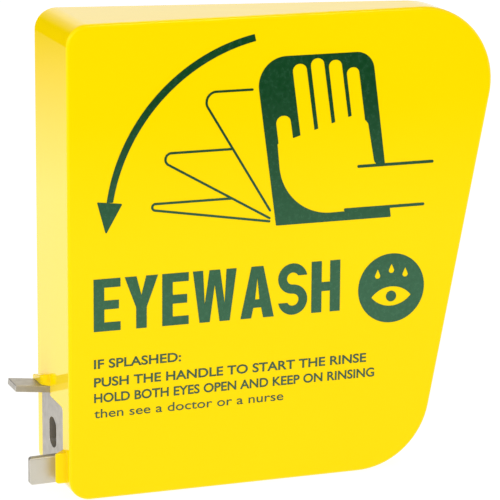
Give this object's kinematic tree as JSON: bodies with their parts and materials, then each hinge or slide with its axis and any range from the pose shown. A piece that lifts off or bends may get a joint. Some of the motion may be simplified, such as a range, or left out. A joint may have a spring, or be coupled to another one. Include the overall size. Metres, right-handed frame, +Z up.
{
  "type": "eyewash valve push handle",
  "caption": "Hollow wedge-shaped push flag on a stamped steel valve bracket, for opening an eyewash valve by hand.",
  "frame": {"origin": "on the valve stem's axis, at the outer, valve-side face of the bracket plate", "axes": "-X along the stem towards the valve, +X along the flag to its free edge, +Y from the printed front face to the back cover, +Z up the flag"},
  "size_m": [0.1475, 0.0347, 0.1461],
  "materials": {
    "housing_plastic": "gloss",
    "cover_plastic": "satin",
    "bracket_steel": "satin",
    "fastener_steel": "satin",
    "green_ink": "semi-gloss print"
  },
  "bodies": {
    "root": {"front_shell": "housing_plastic", "back_cover": "cover_plastic", "valve_bracket": "bracket_steel", "anchor_screws": "fastener_steel", "anchor_washers": "fastener_steel", "anchor_nuts": "fastener_steel", "cover_screws": "fastener_steel", "swing_arrow_print": "green_ink", "flag_positions_print": "green_ink", "push_panel_print": "green_ink", "name_print": "green_ink", "emblem_print": "green_ink"}
  },
  "joints": []
}
